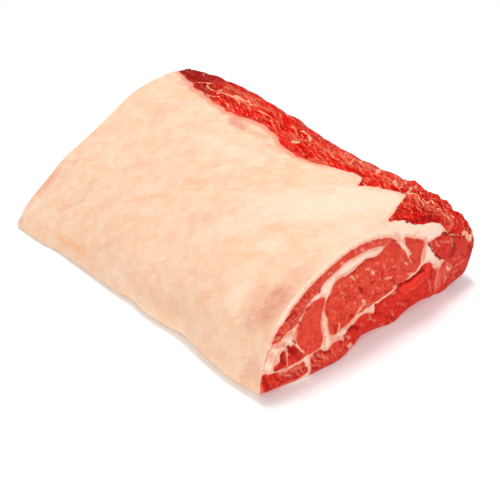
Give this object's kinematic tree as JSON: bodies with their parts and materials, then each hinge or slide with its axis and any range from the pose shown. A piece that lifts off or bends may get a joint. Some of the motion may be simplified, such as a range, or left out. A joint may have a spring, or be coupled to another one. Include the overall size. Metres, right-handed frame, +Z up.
{
  "type": "beef rib roast",
  "caption": "Raw boneless beef rib roast block with a fat cap, cut square at both ends to show the muscles and the fat seams between them.",
  "frame": {"origin": "middle of the roast's box, on the surface it rests on", "axes": "+Y runs along the roast from the front cut to the back cut, +X goes from the thin lip to the chine side, +Z is up"},
  "size_m": [0.2435, 0.3352, 0.1024],
  "materials": {
    "fat": "raw beef fat: cream, faintly pink, soft satin",
    "bare_lean": "bare lean, bright red with pale strands, moist",
    "eye_lean": "cut lean of the eye, rosy red with fine marbling, moist",
    "cap_lean": "cut lean of the cap, a browner red, moist",
    "rib_lean": "cut lean beside the ribs, bright red, moist"
  },
  "bodies": {
    "root": {"fat": "fat", "back_lean": "bare_lean", "eye_muscle": "eye_lean", "cap_muscle": "cap_lean", "side_muscle": "eye_lean", "lip_muscle": "cap_lean", "rib_lean_lip": "rib_lean", "rib_lean_middle": "rib_lean", "rib_lean_chine": "rib_lean", "wedge_muscle": "eye_lean", "chine_lean": "rib_lean"}
  },
  "joints": []
}
